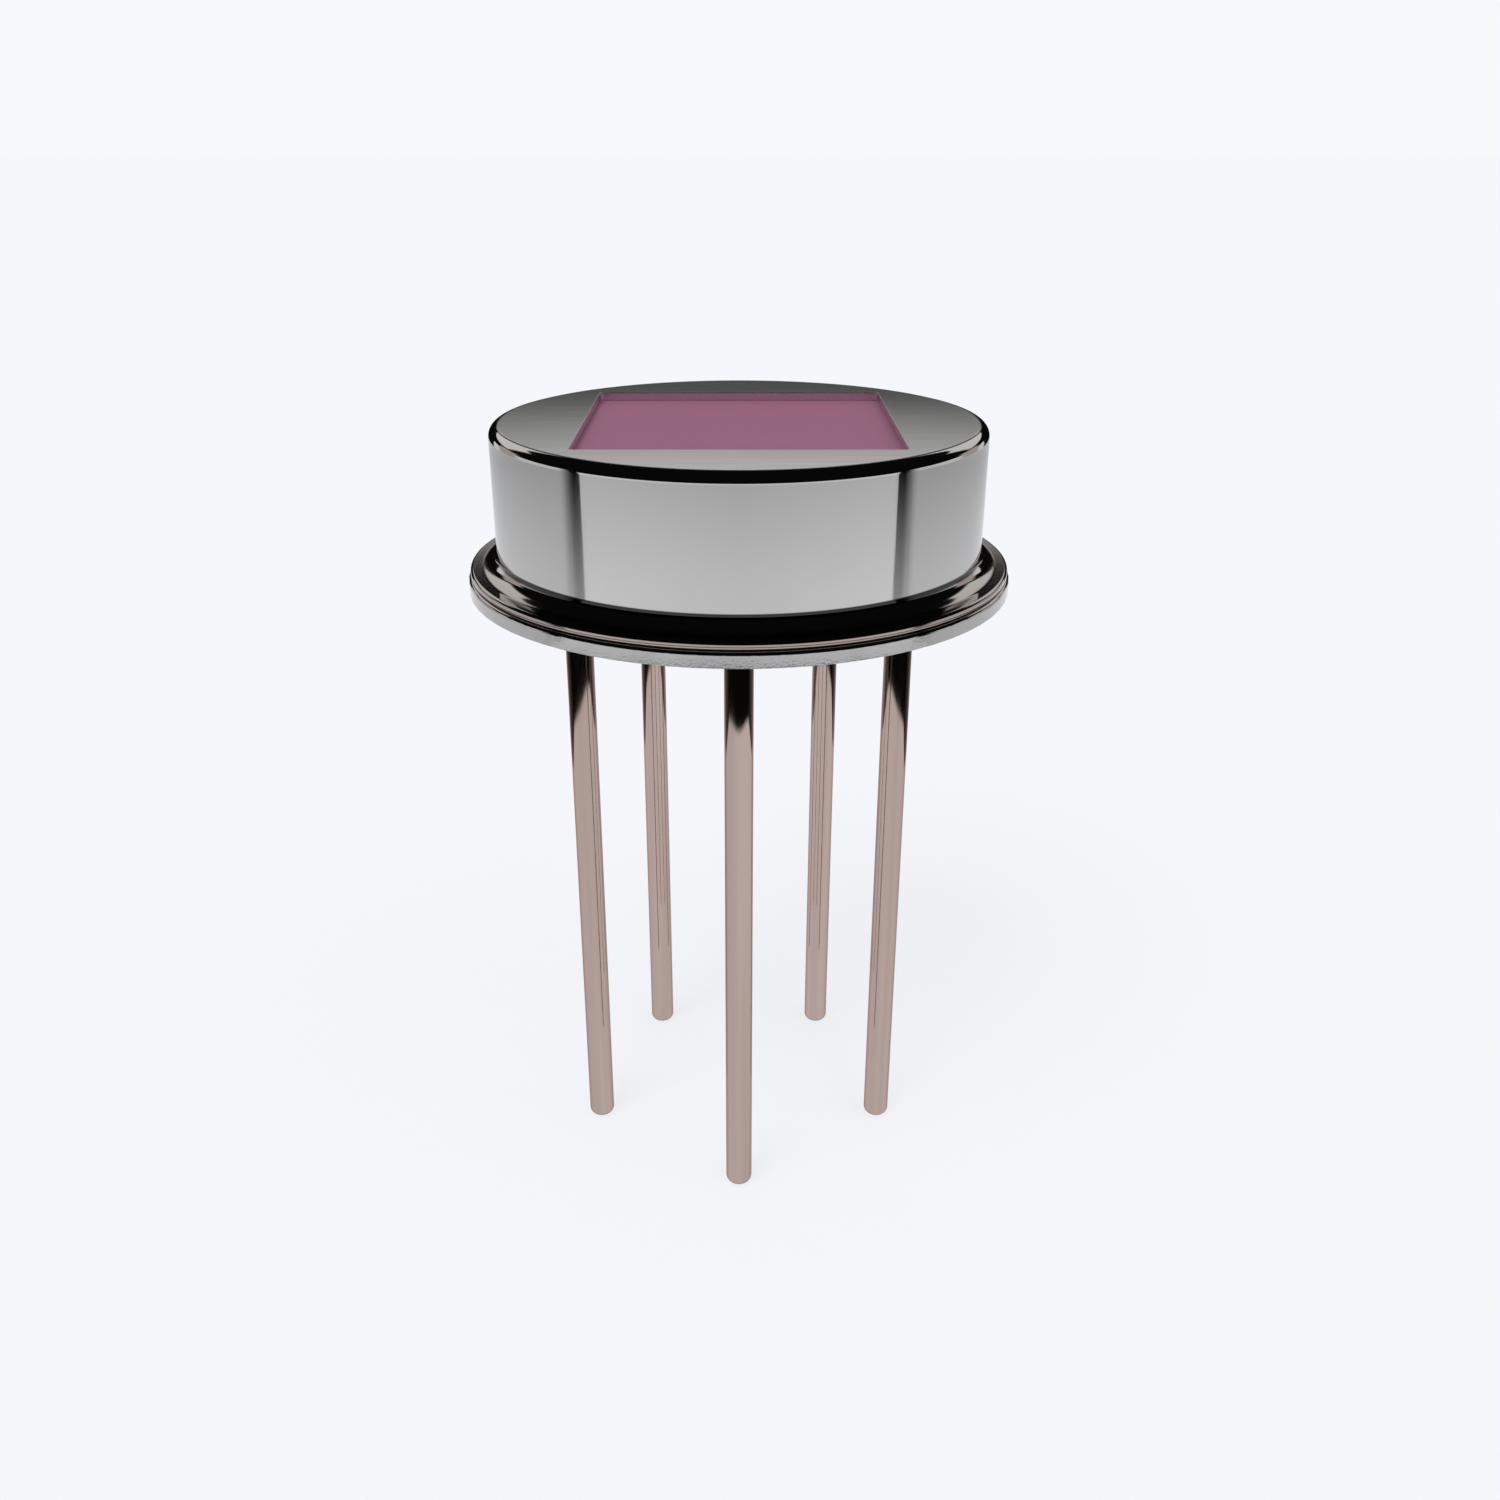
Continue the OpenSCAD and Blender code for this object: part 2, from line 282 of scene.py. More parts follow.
def makeFloor(look):
    # level square: (x, y, floorLevel)
    ends = np.array([-look["floorHalf"], look["floorHalf"]])
    x, y = np.meshgrid(ends, ends)
    floor = surfaceObject("floor", np.stack([x, y, np.full_like(x, floorLevel)], axis=-1))
    material, tree = newMaterial("paleFloor")
    shown, glossy = seenRays(tree)
    reach, aside = floorPolar(tree)
    far = addRange(tree, reach, *look["fade"], 0, look["fadeMost"])
    far = addMath(tree, "MULTIPLY", far, addRange(tree, reach, *look["fadeBack"], 1, look["fadeKept"]))
    cardTurn = math.radians(look["cardTurn"])
    before = addRange(tree, aside, 0, cardTurn, 0, -look["frontGain"])
    behind = addRange(tree, aside, cardTurn, math.pi, look["sideLoss"], 0)
    turned = mixValue(tree, addMath(tree, "GREATER_THAN", aside, cardTurn), before, behind)
    dimmed = addMath(tree, "MULTIPLY", addMath(tree, "ADD", far, turned), glossy)
    glow = addMath(tree, "MULTIPLY", addMath(tree, "SUBTRACT", 1.0, dimmed), 1 - look["shadowShare"])
    litTone = rgb(*(c * look["shadowShare"] / look["floorLight"] for c in look["pale"][:3]))
    glowing = emission(tree, look["pale"], glow)
    seen = addNode(tree, "ShaderNodeAddShader", {0: glowing, 1: diffuse(tree, litTone)}).outputs[0]
    whole = mixShader(tree, shown, diffuse(tree, look["matt"]), seen)
    near = addMath(tree, "LESS_THAN", reach, look["openReach"])
    opened = addMath(tree, "MULTIPLY", near, glossy)
    closeMaterial(tree, mixShader(tree, opened, whole, transparent(tree)))
    floor.data.materials.append(material)


def makeLamps(look):
    for name, strength, softness, turn, rise in look["lamps"]:
        data = bpy.data.lights.new(name, "SUN")
        data.energy = strength
        data.angle = math.radians(softness)
        lamp = bpy.data.objects.new(name, data)
        lamp.rotation_euler = (math.radians(90 - rise), 0, math.radians(turn))
        lamp.visible_glossy = False
        scene.collection.objects.link(lamp)


makeWorld(studio)
makeFloor(studio)
makeLamps(studio)


# What the metal mirrors: a dark dome with a low strip of light, black cards and two pairs of softboxes

domeLook = {
    "radius": 98 * mm,
    "steps": (240, 40),                      # round and up
    "dark": rgb(0.004, 0.004, 0.004),
    "light": rgb(0.72, 0.72, 0.71),
    "backTurn": (14, 19),                    # degrees from the back where the strip ends
    "backRise": (18.2 * mm, 24.8 * mm),      # heights where its light begins and is full
    "backFall": (25.2 * mm, 26.2 * mm),      # heights where it fades out again
    "lowEdge": (1.5 * mm, 9.0 * mm),         # dome begins at these heights, in front and behind
    "edgeTurn": (76, 79),                    # degrees from the front between the two
}


def makeDome(look):
    # point at turn t and rise e on a ball: radius * (cos e sin t, cos e cos t, sin e)
    radius = look["radius"]
    around, up = look["steps"]
    turn, share = np.meshgrid(evenTurns(around, -np.pi), np.linspace(0, 1, up), indexing="ij")
    edge = np.interp(np.degrees(np.pi - np.abs(turn)), look["edgeTurn"], look["lowEdge"])
    lowest = np.arcsin(edge / radius)
    rise = lowest + share * (np.pi / 2 - lowest)
    ball = [np.cos(rise) * np.sin(turn), np.cos(rise) * np.cos(turn), np.sin(rise)]
    dome = surfaceObject("darkDome", radius * np.stack(ball, axis=-1), wrapRows=True)
    material, tree = newMaterial("darkDome")
    axes = splitAxes(tree, objectPlace(tree))
    aside = addMath(tree, "ABSOLUTE", addMath(tree, "ARCTAN2", axes["X"], axes["Y"]))
    inner, outer = (math.radians(a) for a in look["backTurn"])
    strip = addRange(tree, axes["Z"], *look["backRise"])
    strip = addMath(tree, "MULTIPLY", strip, addRange(tree, axes["Z"], *look["backFall"], 1, 0))
    strip = addMath(tree, "MULTIPLY", strip, addRange(tree, aside, inner, outer, 1, 0, smooth=True))
    closeMaterial(tree, emission(tree, mixColor(tree, strip, look["dark"], look["light"])))
    mirrorOnly(dome, material)


cardLook = {
    "black": rgb(0.004, 0.004, 0.004),
    "ringLevel": -20 * mm,                  # under the floor, mirrored in the leads' tops
    "ringOuter": 64 * mm,
    "ringTurn": (0, 40, 60, 78, 112, 150),              # degrees from the front
    "ringInner": (45.6, 45.6, 45.3, 44.6, 38.5, 38.5),  # mm from the axis, where it begins at these turns
    "ringDense": (1.0, 1.0, 1.0, 1.0, 0.9, 0.2),
    "ringSoft": 1.2 * mm,
    "ringSteps": 144,
    "backAway": 62 * mm,                    # dark cards behind, mirrored at the flange's ends
    "backSpan": (12, 40),                   # degrees from the back
    "backHeights": (-7.5 * mm, 8.5 * mm),
    "sideAway": 34 * mm,                    # side cards stand here and darken two bands of the wall
    "sideSpan": (-12.4 * mm, -5.0 * mm),    # sharp front edge, and where it has faded out
    "sideCore": -10.1 * mm,                 # full up to here
    "sideHeights": (0.1 * mm, 16 * mm),     # above the floor
    "sideDense": (0.48, 1.0),               # density at the floor and from sideFull up
    "sideFull": 6.5 * mm,
    "softAway": 80 * mm,
    "softEdge": 6,                          # degrees
    "softboxes": {                          # degrees from the back, heights and tone
        "LowSoftbox": ((45, 69), (-10.8 * mm, 17 * mm), rgb(0.55, 0.47, 0.45)),
        "HighSoftbox": ((17, 57), (21 * mm, 52.5 * mm), rgb(0.88, 0.86, 0.845)),
    },
    "drumSteps": 25,                        # along each dark card behind and each softbox
}


def closeFading(tree, dense, tone):
    # emission of the tone where dense is 1, clear where it is 0
    closeMaterial(tree, mixShader(tree, dense, transparent(tree), emission(tree, tone)))


def makeLowRing(look):
    # flat ring (reach cos t, reach sin t, level), with its density kept in an attribute of its points
    turns = evenTurns(look["ringSteps"], -np.pi)
    aside = np.degrees(np.abs((turns + np.pi / 2 + np.pi) % (2 * np.pi) - np.pi))    # from the front
    inner = np.interp(aside, look["ringTurn"], look["ringInner"]) * mm
    outer = np.full_like(inner, look["ringOuter"])
    reach = np.stack([inner, inner + look["ringSoft"], outer], axis=-1)
    outline = np.stack([reach, np.full_like(reach, look["ringLevel"])], axis=-1)
    ring = surfaceObject("lowRing", spunPoints(outline, turns), wrapRows=True)
    full = np.interp(aside, look["ringTurn"], look["ringDense"])
    layer = ring.data.attributes.new("dense", "FLOAT", "POINT")
    layer.data.foreach_set("value", np.stack([np.zeros_like(full), full, full], axis=-1).ravel())
    material, tree = newMaterial("blackRing")
    dense = addNode(tree, "ShaderNodeAttribute", attribute_name="dense").outputs["Fac"]
    closeFading(tree, dense, look["black"])
    mirrorOnly(ring, material)


def makeSideCards(look):
    # upright sheets on both sides: (-away or away, y, z)
    material, tree = newMaterial("fadingCard")
    axes = splitAxes(tree, objectPlace(tree))
    along = addRange(tree, axes["Y"], look["sideCore"], look["sideSpan"][1], 1, 0, smooth=True)
    up = addRange(tree, axes["Z"], floorLevel, floorLevel + look["sideFull"], *look["sideDense"])
    closeFading(tree, addMath(tree, "MULTIPLY", along, up), look["black"])
    heights = floorLevel + np.array(look["sideHeights"])
    y, z = np.meshgrid(np.array(look["sideSpan"]), heights, indexing="ij")
    for name, side in (("leftCard", -1), ("rightCard", 1)):
        x = np.full_like(y, side * look["sideAway"])
        mirrorOnly(surfaceObject(name, np.stack([x, y, z], axis=-1)), material)


def drumCards(kind, material, away, span, rise, steps):
    # upright strips of a drum on both sides: (away sin t, away cos t, z), with t from the back
    turn, z = np.meshgrid(np.radians(np.linspace(*span, steps)), np.array(rise), indexing="ij")
    for label, side in (("left", -1), ("right", 1)):
        points = np.stack([side * away * np.sin(turn), away * np.cos(turn), z], axis=-1)
        mirrorOnly(surfaceObject(label + kind, points), material)


def makeDrumCards(look):
    steps = look["drumSteps"]
    dark, tree = newMaterial("backCard")
    closeMaterial(tree, emission(tree, look["black"]))
    drumCards("BackCard", dark, look["backAway"], look["backSpan"], look["backHeights"], steps)
    soft = math.radians(look["softEdge"])
    for kind, (span, rise, tone) in look["softboxes"].items():
        material, tree = newMaterial(kind)
        axes = splitAxes(tree, objectPlace(tree))
        turn = addMath(tree, "ARCTAN2", addMath(tree, "ABSOLUTE", axes["X"]), axes["Y"])
        low, high = (math.radians(a) for a in span)
        start = addRange(tree, turn, low, low + soft, smooth=True)
        end = addRange(tree, turn, high - soft, high, 1, 0, smooth=True)
        closeFading(tree, addMath(tree, "MULTIPLY", start, end), tone)
        drumCards(kind, material, look["softAway"], span, rise, steps)


makeDome(domeLook)
makeLowRing(cardLook)
makeSideCards(cardLook)
makeDrumCards(cardLook)
print("studio set")


# Shared surface effects

def newGroup(name, inputs, outputs):
    tree = bpy.data.node_groups.new(name, "ShaderNodeTree")
    for label, kind, value in inputs:
        tree.interface.new_socket(name=label, in_out="INPUT", socket_type=kind).default_value = value
    for label, kind in outputs:
        tree.interface.new_socket(name=label, in_out="OUTPUT", socket_type=kind)
    return tree, tree.nodes.new("NodeGroupInput").outputs, tree.nodes.new("NodeGroupOutput").inputs


def useGroup(tree, group, **values):
    return addNode(tree, "ShaderNodeGroup", values, node_tree=group).outputs


def makeGrainGroup():
    # cloud noise on Object coordinates, drawn out along each axis whose Stretch is below 1
    tree, given, out = newGroup(
        "platedGrain",
        [("Scale", "NodeSocketFloat", 1000.0), ("Stretch", "NodeSocketVector", (1.0, 1.0, 1.0)),
         ("Detail", "NodeSocketFloat", 3.0)],
        [("Mask", "NodeSocketFloat")])
    sockets = {0: objectPlace(tree), 1: given["Stretch"]}
    place = addNode(tree, "ShaderNodeVectorMath", sockets, operation="MULTIPLY").outputs[0]
    noise = addNode(tree, "ShaderNodeTexNoise",
                    {"Vector": place, "Scale": given["Scale"], "Detail": given["Detail"]})
    tree.links.new(noise.outputs[0], out["Mask"])
    return tree


def makeHeightGroup():
    # 0 at the height Low, 1 at the height High, eased between
    tree, given, out = newGroup(
        "heightBand",
        [("Low", "NodeSocketFloat", 0.0), ("High", "NodeSocketFloat", 1 * mm)],
        [("Mask", "NodeSocketFloat")])
    z = splitAxes(tree, objectPlace(tree))["Z"]
    tree.links.new(addRange(tree, z, given["Low"], given["High"], smooth=True), out["Mask"])
    return tree


grainGroup = makeGrainGroup()
heightGroup = makeHeightGroup()
grainMid = (0.3, 0.7)    # most of the grain's values lie between these


def grain(tree, scale, stretch=(1.0, 1.0, 1.0), detail=3.0):
    return useGroup(tree, grainGroup, Scale=scale, Stretch=stretch, Detail=detail)["Mask"]


def heightMask(tree, low, high):
    return useGroup(tree, heightGroup, Low=low, High=high)["Mask"]


def bumpNormal(tree, height, depth):
    return addNode(tree, "ShaderNodeBump", {"Strength": 1.0, "Distance": depth, "Height": height}).outputs[0]


def principled(tree, **sockets):
    names = {name.replace("_", " "): value for name, value in sockets.items()}
    return addNode(tree, "ShaderNodeBsdfPrincipled", names).outputs[0]


# Materials, one for each slot of the record
# A grain is its scale, and where they differ from the plain ones its stretch and detail

capLook = {
    "nickel": rgb(0.535, 0.53, 0.512),
    "cloud": rgb(0.515, 0.51, 0.494),
    "cloudGrain": (900.0, (1.0, 1.0, 0.5)),
    "edge": rgb(0.91, 0.91, 0.91),          # tone towards the wall's sides
    "roughness": (0.04, 0.08),
    "drawnGrain": (26000.0, (1.0, 1.0, 0.03), 2.0),    # fine upright lines
    "drawnDepth": 0.0002 * mm,
    "tint": rgb(0.39, 0.325, 0.295),        # heat of the weld
    "tintBand": (0.25 * mm, 0.62 * mm),
    "tintRoughness": 0.11,
    "paintedBendShade": rgb(0.05, 0.046, 0.043),        # painted shade: a dark line where the foot's bend begins
    "paintedShadeFoot": (0.56 * mm, 0.60 * mm),
    "paintedShadeTop": (0.662 * mm, 0.684 * mm),
    "satinBand": (2.766 * mm, 2.7695 * mm),    # top plane
    "satinMetal": 0.74,
    "satinRoughness": 0.05,
    "lapped": (rgb(0.565, 0.56, 0.545), rgb(0.475, 0.47, 0.455)),
    "lappedGrain": (14000.0, (0.04, 1.0, 1.0), 2.0),
    "cut": rgb(0.80, 0.77, 0.78),           # aperture's punched edge
    "cutReach": (2.592 * mm, 2.600 * mm),
    "cutRoughness": 0.25,
}


def makeCapNickel(look):
    material, tree = newMaterial("capNickel")
    cloud = grain(tree, *look["cloudGrain"])
    clean = heightMask(tree, *look["tintBand"])
    # painted shade: a thin dark line painted where the foot's bend begins
    below = addMath(tree, "SUBTRACT", 1.0, heightMask(tree, *look["paintedShadeTop"]))
    paintedBendShade = addMath(tree, "MULTIPLY", heightMask(tree, *look["paintedShadeFoot"]), below)
    satin = heightMask(tree, *look["satinBand"])
    lapped = addRange(tree, grain(tree, *look["lappedGrain"]), *grainMid)
    cut = addRange(tree, squareOff(tree, splitAxes(tree, objectPlace(tree))), *look["cutReach"], 1, 0)
    color = mixColor(tree, cloud, look["nickel"], look["cloud"])
    color = mixColor(tree, clean, look["tint"], color)
    color = mixColor(tree, paintedBendShade, color, look["paintedBendShade"])
    color = mixColor(tree, satin, color, mixColor(tree, lapped, *look["lapped"]))
    color = mixColor(tree, cut, color, look["cut"])
    roughness = addRange(tree, cloud, *grainMid, *look["roughness"])
    roughness = mixValue(tree, clean, look["tintRoughness"], roughness)
    roughness = mixValue(tree, satin, roughness, look["satinRoughness"])
    roughness = mixValue(tree, cut, roughness, look["cutRoughness"])
    metal = addRange(tree, satin, 0, 1, 1.0, look["satinMetal"])
    normal = bumpNormal(tree, grain(tree, *look["drawnGrain"]), look["drawnDepth"])
    shader = principled(tree, Base_Color=color, Metallic=metal, Roughness=roughness, Normal=normal,
                        Specular_Tint=look["edge"])
    closeMaterial(tree, shader)
    return material


headerLook = {
    "plate": rgb(0.465, 0.457, 0.445),
    "cloud": rgb(0.42, 0.41, 0.398),
    "cloudGrain": 1400.0,
    "roughness": (0.03, 0.07),
    "fineGrain": 30000.0,
    "fineDepth": 0.0004 * mm,
}


def makeHeaderPlate(look):
    material, tree = newMaterial("headerPlate")
    cloud = grain(tree, look["cloudGrain"])
    color = mixColor(tree, cloud, look["plate"], look["cloud"])
    roughness = addRange(tree, cloud, *grainMid, *look["roughness"])
    normal = bumpNormal(tree, grain(tree, look["fineGrain"]), look["fineDepth"])
    shader = principled(tree, Base_Color=color, Metallic=1.0, Roughness=roughness, Normal=normal)
    closeMaterial(tree, shader)
    return material


leadLook = {
    "plate": rgb(0.495, 0.39, 0.345),
    "streak": rgb(0.435, 0.34, 0.295),
    "streakGrain": (5200.0, (1.0, 1.0, 0.02), 1.0),
    "streakMid": (0.35, 0.7),               # streaks show between these values of their grain
    "edge": rgb(0.54, 0.49, 0.46),          # tone towards the sides of the round wire
    "roughness": (0.025, 0.055),
    "fineGrain": (36000.0, (1.0, 1.0, 0.04)),
    "fineDepth": 0.0002 * mm,
}


def makeLeadPlate(look):
    material, tree = newMaterial("leadPlate")
    streak = grain(tree, *look["streakGrain"])
    color = mixColor(tree, addRange(tree, streak, *look["streakMid"]), look["plate"], look["streak"])
    roughness = addRange(tree, streak, *grainMid, *look["roughness"])
    normal = bumpNormal(tree, grain(tree, *look["fineGrain"]), look["fineDepth"])
    shader = principled(tree, Base_Color=color, Metallic=1.0, Roughness=roughness, Normal=normal,
                        Specular_Tint=look["edge"])
    closeMaterial(tree, shader)
    return material


windowLook = {
    "coat": rgb(0.367, 0.158, 0.244),
    "cloud": rgb(0.350, 0.149, 0.233),
    "cloudGrain": 700.0,
    "roughness": 0.2,
    "ior": 1.03,              # the filter coat hardly mirrors
    "clearest": 0.30,         # opacity straight from above
    "lean": (0.1, 0.7),       # 1 - cos of the view's lean, where opacity begins to grow and is full
    "blend": 0.5,             # keeps that measure plain
}


def makeWindowGlass(look):
    material, tree = newMaterial("windowGlass")
    color = mixColor(tree, grain(tree, look["cloudGrain"]), look["coat"], look["cloud"])
    lean = addNode(tree, "ShaderNodeLayerWeight", {"Blend": look["blend"]}).outputs["Facing"]
    opacity = addRange(tree, lean, *look["lean"], look["clearest"], 1.0)
    shader = principled(tree, Base_Color=color, Roughness=look["roughness"], IOR=look["ior"], Alpha=opacity)
    closeMaterial(tree, shader)
    return material


# Plain finishes of the inner pieces: two tones, grain scale, roughness, metallic and relief depth
innerLooks = {
    "seal_compound": (rgb(0.06, 0.055, 0.055), rgb(0.035, 0.03, 0.03), 9000.0, (0.5, 0.7), 0.0, 0.002 * mm),
    "bead_glass": (rgb(0.02, 0.032, 0.034), rgb(0.035, 0.05, 0.05), 4000.0, (0.06, 0.14), 0.0, 0.001 * mm),
    "braze": (rgb(0.66, 0.50, 0.26), rgb(0.5, 0.36, 0.17), 6000.0, (0.22, 0.38), 1.0, 0.002 * mm),
    "clear_adhesive": (rgb(0.62, 0.55, 0.40), rgb(0.52, 0.44, 0.30), 3000.0, (0.12, 0.3), 0.0, 0.002 * mm),
    "alumina": (rgb(0.86, 0.85, 0.81), rgb(0.78, 0.77, 0.73), 20000.0, (0.5, 0.65), 0.0, 0.001 * mm),
    "gold": (rgb(0.83, 0.60, 0.24), rgb(0.74, 0.50, 0.18), 12000.0, (0.25, 0.4), 0.5, 0.001 * mm),
    "silver_adhesive": (rgb(0.34, 0.34, 0.33), rgb(0.22, 0.22, 0.22), 16000.0, (0.3, 0.5), 0.4, 0.003 * mm),
    "die_metal": (rgb(0.72, 0.72, 0.74), rgb(0.62, 0.62, 0.65), 20000.0, (0.25, 0.4), 0.5, 0.001 * mm),
    "thermistor_ceramic": (rgb(0.09, 0.07, 0.055), rgb(0.05, 0.04, 0.03), 14000.0, (0.4, 0.6), 0.0,
                           0.002 * mm),
}
innerMid = (0.35, 0.65)    # the two tones part between these values of the grain


def makeInnerFinish(slot):
    first, second, scale, roughness, metallic, depth = innerLooks[slot]
    material, tree = newMaterial(slot)
    cloud = grain(tree, scale)
    color = mixColor(tree, addRange(tree, cloud, *innerMid), first, second)
    rough = addRange(tree, cloud, *grainMid, *roughness)
    normal = bumpNormal(tree, cloud, depth)
    shader = principled(tree, Base_Color=color, Metallic=metallic, Roughness=rough, Normal=normal)
    closeMaterial(tree, shader)
    return material


dieLook = {
    "silicon": rgb(0.045, 0.05, 0.085),
    "cloud": rgb(0.035, 0.045, 0.075),
    "cloudGrain": 2500.0,
    "roughness": (0.06, 0.14),
    "line": rgb(0.20, 0.20, 0.23),          # quench resistors and trenches between the microcells
    "lineWidth": 0.016 * mm,
    "lineDepth": 0.0005 * mm,
    "pitch": 0.1 * mm,
    "border": rgb(0.10, 0.10, 0.12),
    "borderWidth": 0.12 * mm,
}


def makeCellGroup():
    # lines where x or y is nearer than half of Width to a multiple of Pitch, seen from the piece's middle
    tree, given, out = newGroup(
        "cellGrid",
        [("Pitch", "NodeSocketFloat", 0.1 * mm), ("Width", "NodeSocketFloat", 0.01 * mm),
         ("Half", "NodeSocketFloat", 1 * mm)],
        [("Line", "NodeSocketFloat"), ("Border", "NodeSocketFloat")])
    axes = splitAxes(tree, objectPlace(tree))
    halfWidth = addMath(tree, "MULTIPLY", given["Width"], 0.5)
    halfPitch = addMath(tree, "MULTIPLY", given["Pitch"], 0.5)
    offs = [addMath(tree, "PINGPONG", axes[axis], halfPitch) for axis in "XY"]
    lines = [addMath(tree, "LESS_THAN", off, halfWidth) for off in offs]
    tree.links.new(addMath(tree, "MAXIMUM", *lines), out["Line"])
    tree.links.new(addMath(tree, "GREATER_THAN", squareOff(tree, axes), given["Half"]), out["Border"])
    return tree


def makeSilicon(look):
    material, tree = newMaterial("silicon")
    low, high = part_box("sipm_die")
    half = (high.x - low.x) / 2 - look["borderWidth"]
    grid = useGroup(tree, makeCellGroup(), Pitch=look["pitch"], Width=look["lineWidth"], Half=half)
    cloud = grain(tree, look["cloudGrain"])
    color = mixColor(tree, cloud, look["silicon"], look["cloud"])
    color = mixColor(tree, grid["Line"], color, look["line"])
    color = mixColor(tree, grid["Border"], color, look["border"])
    roughness = addRange(tree, cloud, *grainMid, *look["roughness"])
    normal = bumpNormal(tree, grid["Line"], look["lineDepth"])
    shader = principled(tree, Base_Color=color, Roughness=roughness, Normal=normal)
    closeMaterial(tree, shader)
    return material


materials = {slot: makeInnerFinish(slot) for slot in innerLooks}
materials["silicon"] = makeSilicon(dieLook)
materials["cap_nickel"] = makeCapNickel(capLook)
materials["header_plate"] = makeHeaderPlate(headerLook)
materials["lead_plate"] = makeLeadPlate(leadLook)
materials["window_glass"] = makeWindowGlass(windowLook)

for part in frame["record"]["subparts"]:
    piece = nodes[part["node"]]
    piece.data.materials.clear()
    piece.data.materials.append(materials[part["material_slot"]])
print("finishes set:", len(materials), "materials")


# Finer surfaces that stand for the solids

def standFor(piece, node, slot):
    piece.data.materials.append(materials[slot])
    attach(piece, "root")
    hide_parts(node)


capShape = {
    "radius": 4.20 * mm,
    "top": 2.77 * mm,
    "seat": 0.25 * mm,            # underside of the flange
    "sheet": 0.15 * mm,
    "topBend": 0.03 * mm,         # inside
    "footBend": 0.27 * mm,        # outside
    "flangeRadius": 4.66 * mm,
    "flangeEdge": 0.06 * mm,
    "aperture": 5.18 * mm,
    "apertureCorner": 0.08 * mm,
    "apertureEdge": 0.012 * mm,
    "hold": 0.006 * mm,           # loops this far from each bend keep the flats flat
    "outerSteps": 25,             # points along the top and foot bends outside
    "footSteps": 19,              # inside the foot
    "topSteps": 7,                # inside the top
    "edgeSteps": 9,               # each half of the flange's edge
    "lipSteps": 6,                # aperture's edge
    "acrossTop": (0.004, 0.25, 0.5, 0.75, 0.996),    # shares of the way from the aperture to the bend
    "turns": 360,
    "cornerTurns": 15,            # closer turns at each corner of the aperture
    "cornerReach": 1.4,           # this many degrees to either side
}


def squareReach(turns, half, corner):
    # distance from the middle to a rounded square: half / cos t along a side, then the corner's arc
    lean = np.abs((turns + np.pi / 4) % (np.pi / 2) - np.pi / 4)
    side = half / np.cos(lean)
    middle = math.sqrt(2) * (half - corner)
    off = np.pi / 4 - lean
    arc = middle * np.cos(off) + np.sqrt(np.maximum(corner ** 2 - (middle * np.sin(off)) ** 2, 0))
    return np.where(half * np.tan(lean) <= half - corner, side, arc)


def capTurns(shape):
    # even turns, and closer ones where the aperture's corners are
    corners = np.pi / 4 + np.arange(4) * np.pi / 2
    spread = np.radians(np.linspace(-shape["cornerReach"], shape["cornerReach"], shape["cornerTurns"]))
    turns = np.concatenate([evenTurns(shape["turns"]), np.add.outer(corners, spread).ravel()])
    return np.unique(np.round(turns, 6))


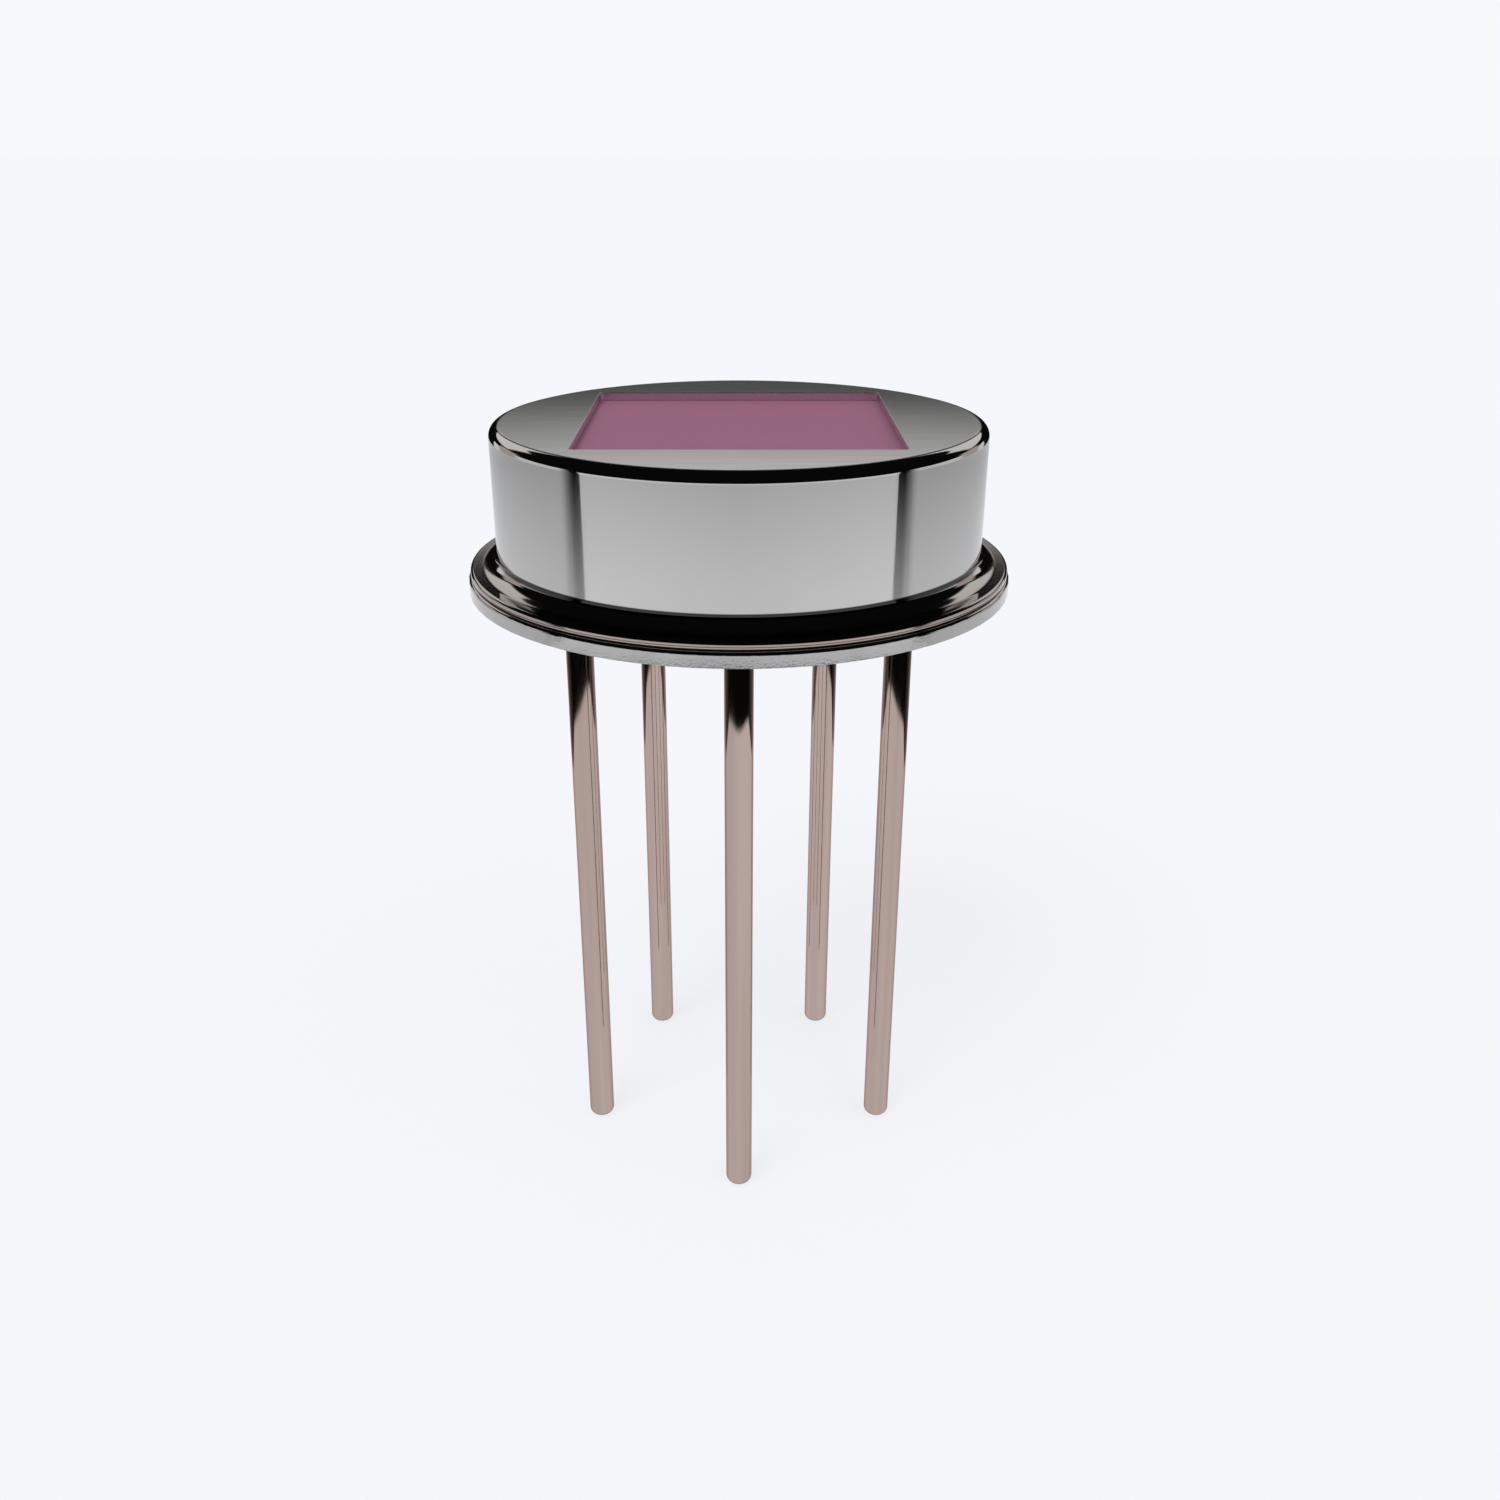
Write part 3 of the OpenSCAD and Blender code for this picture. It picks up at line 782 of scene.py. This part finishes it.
def makeCap(shape):
    # drawn sheet as one closed skin: the aperture's edge, top, wall, flange and back along the inside
    radius, top, seat, sheet = (shape[k] for k in ("radius", "top", "seat", "sheet"))
    bend, foot, edge = (shape[k] for k in ("topBend", "footBend", "flangeEdge"))
    rim, hold, lip = (shape[k] for k in ("flangeRadius", "hold", "apertureEdge"))
    outer = bend + sheet
    flangeTop = seat + sheet
    inner = radius - sheet
    outerSteps, edgeSteps = shape["outerSteps"], shape["edgeSteps"]
    skin = np.concatenate([
        arcPoints((radius - outer, top - outer), outer, 90, 0, outerSteps),
        [(radius, top - outer - hold), (radius, flangeTop + foot + hold)],
        arcPoints((radius + foot, flangeTop + foot), foot, 180, 270, outerSteps),
        [(radius + foot + hold, flangeTop), (rim - edge - hold, flangeTop)],
        arcPoints((rim - edge, flangeTop - edge), edge, 90, 0, edgeSteps),
        arcPoints((rim - edge, seat + edge), edge, 0, -90, edgeSteps),
        [(rim - edge - hold, seat), (inner + foot + sheet + hold, seat)],
        arcPoints((inner + foot + sheet, seat + foot + sheet), foot + sheet, 270, 180, shape["footSteps"]),
        [(inner, seat + foot + sheet + hold), (inner, top - sheet - bend - hold)],
        arcPoints((inner - bend, top - sheet - bend), bend, 0, 90, shape["topSteps"]),
        [(inner - bend - hold, top - sheet)],
    ])
    turns = capTurns(shape)
    hole = squareReach(turns, shape["aperture"] / 2, shape["apertureCorner"])
    lipArc = arcPoints((lip, -lip), lip, 180, 90, shape["lipSteps"])    # offsets from the hole and the top
    flat = np.array(shape["acrossTop"])
    wall = [top - sheet, top - sheet, top - sheet + hold, top - lip - hold]
    reach = np.concatenate([
        [hole + hold],
        np.broadcast_to(hole, (len(wall) - 1, len(turns))),
        hole + lipArc[:, :1],
        hole + lip + flat[:, None] * (radius - outer - hole - lip),
    ])
    height = np.concatenate([wall, top + lipArc[:, 1], np.full(len(flat), top)])
    square = np.stack([reach.T, np.broadcast_to(height, reach.T.shape)], axis=-1)
    outline = np.concatenate([square, np.broadcast_to(skin, (len(turns),) + skin.shape)], axis=1)
    cap = surfaceObject("capShell", spunPoints(outline, turns), wrapRows=True, wrapCols=True)
    standFor(cap, "cap", "cap_nickel")


leadShape = {
    "turns": {1: 126, 2: 198, 3: 270, 4: 342, 5: 54},    # lead number and its place in degrees
    "circle": 2.92 * mm,          # distance from the can's axis
    "radius": 0.24 * mm,
    "core": 0.225 * mm,           # above the seating plane
    "tip": 0.14 * mm,             # rounding at the low end
    "postTop": 1.50 * mm,
    "caseLead": 3,                # ends lower, at caseTop
    "caseTop": 1.05 * mm,
    "hold": 0.006 * mm,
    "tipSteps": 13,
    "shaftSteps": 8,
    "roundSteps": 64,
}


def makeLead(shape, number, turn):
    # wire spun from its outline: rounded tip, shaft up to the plating's step, and core up to the post's end
    radius, core, tip, hold = (shape[k] for k in ("radius", "core", "tip", "hold"))
    top = shape["caseTop"] if number == shape["caseLead"] else shape["postTop"]
    shaft = np.linspace(floorLevel + tip + hold, -hold, shape["shaftSteps"])
    outline = np.concatenate([
        [(0, floorLevel), (radius - tip - hold, floorLevel)],
        arcPoints((radius - tip, floorLevel + tip), tip, 270, 360, shape["tipSteps"]),
        np.stack([np.full_like(shaft, radius), shaft], axis=-1),
        [(radius, 0), (radius - hold, 0), (core + hold, 0), (core, 0), (core, hold)],
        [(core, top - hold), (core, top), (core - hold, top), (0, top)],
    ])
    angle = math.radians(turn)
    place = (shape["circle"] * math.cos(angle), shape["circle"] * math.sin(angle))
    points = spunPoints(outline[::-1], evenTurns(shape["roundSteps"]), place)
    standFor(surfaceObject(f"leadWire{number}", points, wrapRows=True), f"lead_{number}", "lead_plate")


makeCap(capShape)
for number, turn in leadShape["turns"].items():
    makeLead(leadShape, number, turn)
print("finer surfaces made")
